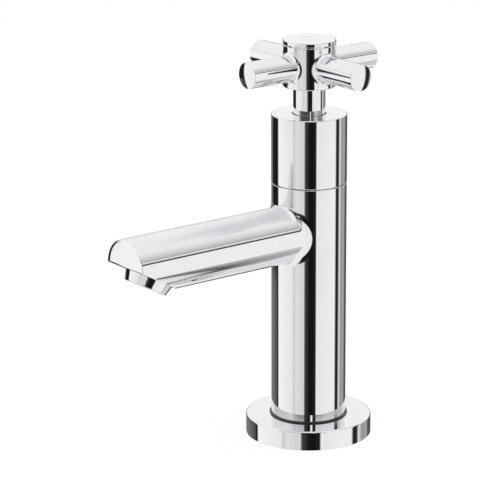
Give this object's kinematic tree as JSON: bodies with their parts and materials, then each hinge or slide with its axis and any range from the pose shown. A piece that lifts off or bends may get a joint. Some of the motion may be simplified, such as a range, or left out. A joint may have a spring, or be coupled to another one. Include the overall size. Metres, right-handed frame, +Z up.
{
  "type": "cross handle tap",
  "caption": "Tall round pillar tap with a straight fixed spout, slanted outlet nozzle, cross handle with round arms and a threaded tail for a deck hole.",
  "frame": {"origin": "middle of the deck face, under the base ring, on the column's axis", "axes": "+Z up along the column, -Y along the spout, tail down through the deck along -Z"},
  "size_m": [0.0676, 0.13, 0.2226],
  "materials": {
    "chrome_plated_brass": "polished bright chrome plate on brass",
    "turned_brass": "plain turned brass",
    "black_rubber": "moulded black rubber",
    "fibre_seal": "red fibre washer",
    "zinc_plated_steel": "zinc-plated pressed steel",
    "stainless_steel": "plain stainless steel",
    "white_acetal": "moulded white acetal",
    "grey_acetal": "moulded grey acetal",
    "alumina_ceramic": "lapped alumina"
  },
  "bodies": {
    "root": {"base_flange": "chrome_plated_brass", "column_body": "chrome_plated_brass", "spout": "chrome_plated_brass", "nozzle_housing": "chrome_plated_brass", "bonnet_sleeve": "chrome_plated_brass", "inlet_shank": "turned_brass", "headwork_housing": "turned_brass", "spout_nipple": "turned_brass", "flange_seal_ring": "black_rubber", "base_gasket": "black_rubber", "spout_o_rings": "black_rubber", "nozzle_o_ring": "black_rubber", "sleeve_o_ring": "black_rubber", "headwork_o_ring": "black_rubber", "seat_seal": "black_rubber", "shank_seal": "fibre_seal", "spout_grub_screw": "stainless_steel", "flow_screen": "stainless_steel", "neck_guide_ring": "white_acetal", "glide_washer": "white_acetal", "flow_insert": "grey_acetal", "fixed_disc": "alumina_ceramic"},
    "handle": {"handle_hub": "chrome_plated_brass", "arm_front": "chrome_plated_brass", "arm_right": "chrome_plated_brass", "arm_back": "chrome_plated_brass", "arm_left": "chrome_plated_brass", "arm_studs": "stainless_steel", "index_cap": "chrome_plated_brass", "cap_ring": "black_rubber", "handle_screw": "stainless_steel", "spline_bush": "white_acetal", "spindle": "turned_brass", "spindle_o_rings": "black_rubber", "retaining_clip": "stainless_steel", "moving_disc": "alumina_ceramic"},
    "clamp": {"clamp_gasket": "black_rubber", "clamp_washer": "zinc_plated_steel"},
    "backnut": {"backnut": "turned_brass"}
  },
  "joints": [
    {"name": "handle_turn", "type": "hinge", "parent": "root", "child": "handle", "pos_m": [0, 0, 0.0922], "axis": [0, 0, 1], "range_deg": [0, 90]},
    {"name": "clamp_travel", "type": "slide", "parent": "root", "child": "clamp", "axis": [0, 0, 1], "range_m": [-0.025, 0.007]},
    {"name": "backnut_turn", "type": "hinge", "parent": "clamp", "child": "backnut", "pos_m": [0, 0, -0.018], "axis": [0, 0, 1], "range_deg": [-4970, 1395]}
  ],
  "couplings": [
    {"joint": "backnut_turn", "follows": "clamp_travel", "rad_per_m": 3463.7}
  ]
}
